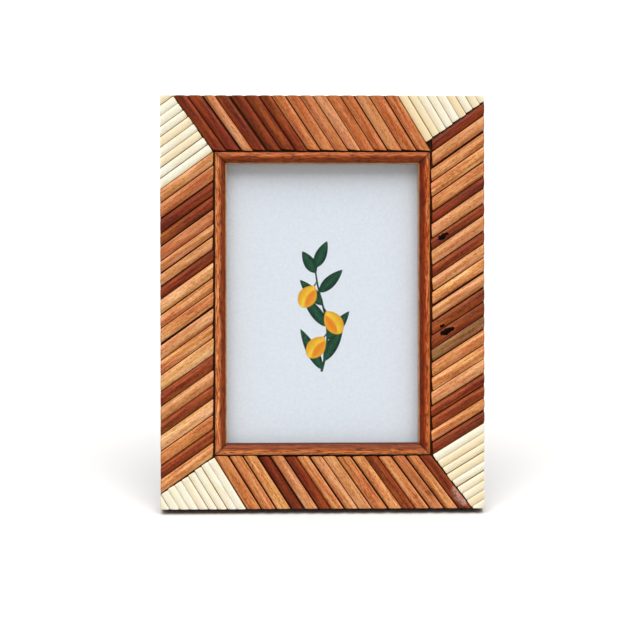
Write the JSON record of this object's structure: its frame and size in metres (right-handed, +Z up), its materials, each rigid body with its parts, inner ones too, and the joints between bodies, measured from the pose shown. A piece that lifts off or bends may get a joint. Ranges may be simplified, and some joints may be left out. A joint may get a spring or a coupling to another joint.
{
  "type": "standing photo frame",
  "caption": "Standing photo frame faced with slanted crowned hardwood slats and bone strips in the corners, with a beaded window, glass and a folding easel strut.",
  "frame": {"origin": "middle of the box that the open frame fills, at the height of the table", "axes": "+Z up, +X to the right as seen from the front, and the face looks along -Y, leaning back towards +Y"},
  "size_m": [0.189, 0.106, 0.2375],
  "materials": {
    "mdf_core": "dark stained medium density fibreboard",
    "bead_wood": "satin lacquered red hardwood",
    "dark_wood": "satin lacquered dark red-brown hardwood",
    "mid_wood": "satin lacquered orange-brown hardwood",
    "light_wood": "satin lacquered light tan hardwood",
    "olive_wood": "satin lacquered olive-brown hardwood",
    "bone": "polished bleached bone",
    "glass": "clear float glass",
    "print_paper": "smooth printed paper",
    "card": "plain grey board",
    "black_board": "fibreboard covered in black flocked paper",
    "steel": "zinc plated steel"
  },
  "bodies": {
    "frame": {"core_top_rail": "mdf_core", "core_right_rail": "mdf_core", "core_bottom_rail": "mdf_core", "core_left_rail": "mdf_core", "bead_top": "bead_wood", "bead_right": "bead_wood", "bead_bottom": "bead_wood", "bead_left": "bead_wood", "top_slats_dark": "dark_wood", "top_slats_mid": "mid_wood", "top_slats_light": "light_wood", "right_slats_dark": "dark_wood", "right_slats_mid": "mid_wood", "right_slats_light": "light_wood", "right_slat_olive": "olive_wood", "bottom_slats_dark": "dark_wood", "bottom_slats_mid": "mid_wood", "bottom_slats_light": "light_wood", "left_slats_dark": "dark_wood", "left_slats_mid": "mid_wood", "left_slats_light": "light_wood", "bone_corner_top_left": "bone", "bone_corner_top_right": "bone", "bone_corner_bottom_right": "bone", "bone_corner_bottom_left": "bone", "glass": "glass", "print": "print_paper", "backing_card": "card", "back_board": "black_board", "board_hinge_leaf": "steel", "hinge_pin": "steel", "board_rivets": "steel", "button_screws": "steel", "top_hanger": "steel", "side_hanger": "steel", "hanger_nails": "steel", "mitre_nails": "steel"},
    "strut_arm": {"strut": "black_board", "strut_hinge_leaf": "steel", "strut_rivets": "steel"},
    "turn_button_top_left": {"turn_button_top_left": "steel"},
    "turn_button_top_right": {"turn_button_top_right": "steel"},
    "turn_button_bottom_left": {"turn_button_bottom_left": "steel"},
    "turn_button_bottom_right": {"turn_button_bottom_right": "steel"}
  },
  "joints": [
    {"name": "strut_swing", "type": "hinge", "parent": "frame", "child": "strut_arm", "pos_m": [0, 0.00769, 0.17609], "axis": [1, 0, 0], "range_deg": [-28, 0]},
    {"name": "button_top_left_turn", "type": "hinge", "parent": "frame", "child": "turn_button_top_left", "pos_m": [-0.0705, 0.0056, 0.1764], "axis": [0, 0.9703, -0.2419], "continuous": true},
    {"name": "button_top_right_turn", "type": "hinge", "parent": "frame", "child": "turn_button_top_right", "pos_m": [0.0705, 0.0056, 0.1764], "axis": [0, 0.9703, -0.2419], "continuous": true},
    {"name": "button_bottom_left_turn", "type": "hinge", "parent": "frame", "child": "turn_button_bottom_left", "pos_m": [-0.0705, -0.0244, 0.05608], "axis": [0, 0.9703, -0.2419], "continuous": true},
    {"name": "button_bottom_right_turn", "type": "hinge", "parent": "frame", "child": "turn_button_bottom_right", "pos_m": [0.0705, -0.0244, 0.05608], "axis": [0, 0.9703, -0.2419], "continuous": true}
  ]
}
